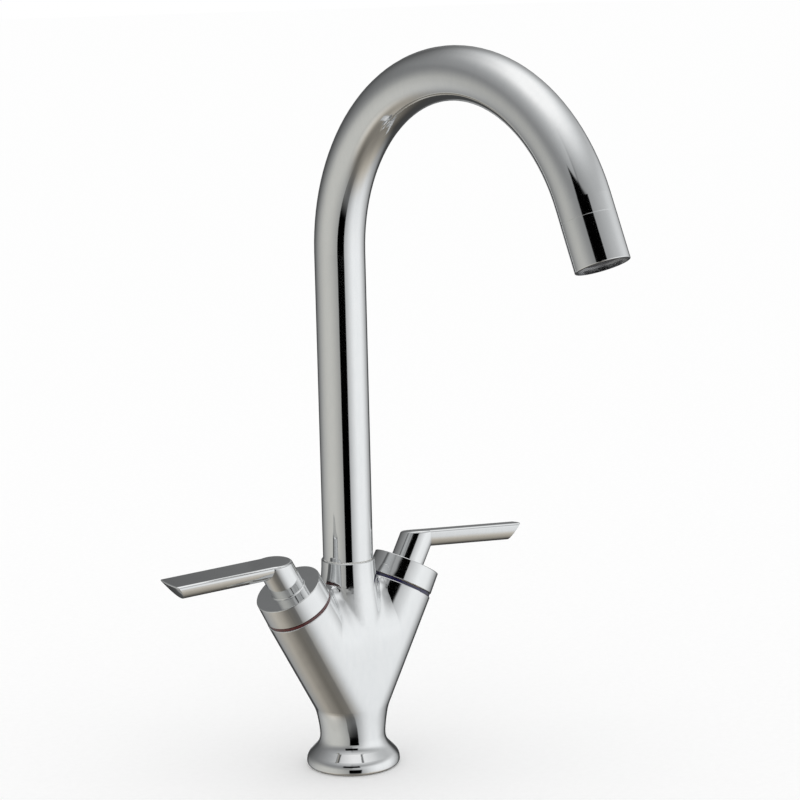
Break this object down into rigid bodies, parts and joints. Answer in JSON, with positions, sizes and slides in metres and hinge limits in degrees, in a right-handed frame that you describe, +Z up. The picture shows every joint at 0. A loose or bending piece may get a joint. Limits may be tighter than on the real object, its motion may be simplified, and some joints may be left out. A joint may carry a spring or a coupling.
{
  "type": "two handle kitchen mixer tap",
  "caption": "Deck mounted kitchen mixer tap: cast body with two leaning arms, a lever handle on each, and a tall swivelling swan neck spout.",
  "frame": {"origin": "centre of the flange's underside, on the deck the tap stands on", "axes": "+Z up along the spout's swivel axis, the spout points along -Y towards the user at rest, the hot arm leans to -X and the cold arm to +X"},
  "size_m": [0.2043, 0.2152, 0.3597],
  "materials": {
    "polished_chrome": "mirror chrome plate on cast and drawn brass",
    "brass": "turned brass",
    "dark_steel": "plain steel screws and clips",
    "steel_mesh": "fine stainless screen",
    "black_rubber": "matt seal rubber",
    "white_plastic": "acetal bearings",
    "grey_plastic": "moulded aerator cup",
    "ceramic": "lapped alumina",
    "red_ring": "deep red ring",
    "blue_ring": "deep blue ring"
  },
  "bodies": {
    "tap": {"tap_body": "polished_chrome", "base_seal": "black_rubber", "spout_retaining_screw": "dark_steel", "hot_indicator_ring": "red_ring", "hot_valve_bonnet": "brass", "hot_bonnet_washer": "black_rubber", "hot_seat_seal": "black_rubber", "hot_fixed_disc": "ceramic", "cold_indicator_ring": "blue_ring", "cold_valve_bonnet": "brass", "cold_bonnet_washer": "black_rubber", "cold_seat_seal": "black_rubber", "cold_fixed_disc": "ceramic"},
    "spout": {"spout_tube": "polished_chrome", "spout_spigot": "brass", "spout_o_rings": "black_rubber", "spout_glide_ring": "white_plastic", "spout_thrust_washer": "white_plastic", "nozzle_ferrule": "brass", "nozzle_housing": "polished_chrome", "aerator_cartridge": "grey_plastic", "aerator_screen": "steel_mesh", "aerator_washer": "black_rubber"},
    "hot_lever": {"hot_turning_disc": "ceramic", "hot_valve_spindle": "brass", "hot_spindle_o_rings": "black_rubber", "hot_spindle_clip": "dark_steel", "hot_spline_bush": "white_plastic", "hot_handle": "polished_chrome", "hot_handle_screw": "dark_steel"},
    "cold_lever": {"cold_turning_disc": "ceramic", "cold_valve_spindle": "brass", "cold_spindle_o_rings": "black_rubber", "cold_spindle_clip": "dark_steel", "cold_spline_bush": "white_plastic", "cold_handle": "polished_chrome", "cold_handle_screw": "dark_steel"}
  },
  "joints": [
    {"name": "spout_swivel", "type": "hinge", "parent": "tap", "child": "spout", "pos_m": [0, 0, 0.106], "axis": [0, 0, 1], "continuous": true},
    {"name": "hot_lever_turn", "type": "hinge", "parent": "tap", "child": "hot_lever", "pos_m": [0, 0, 0.031], "axis": [-0.5, 0, 0.866], "range_deg": [0, 90]},
    {"name": "cold_lever_turn", "type": "hinge", "parent": "tap", "child": "cold_lever", "pos_m": [0, 0, 0.031], "axis": [-0.5, 0, -0.866], "range_deg": [0, 90]}
  ]
}
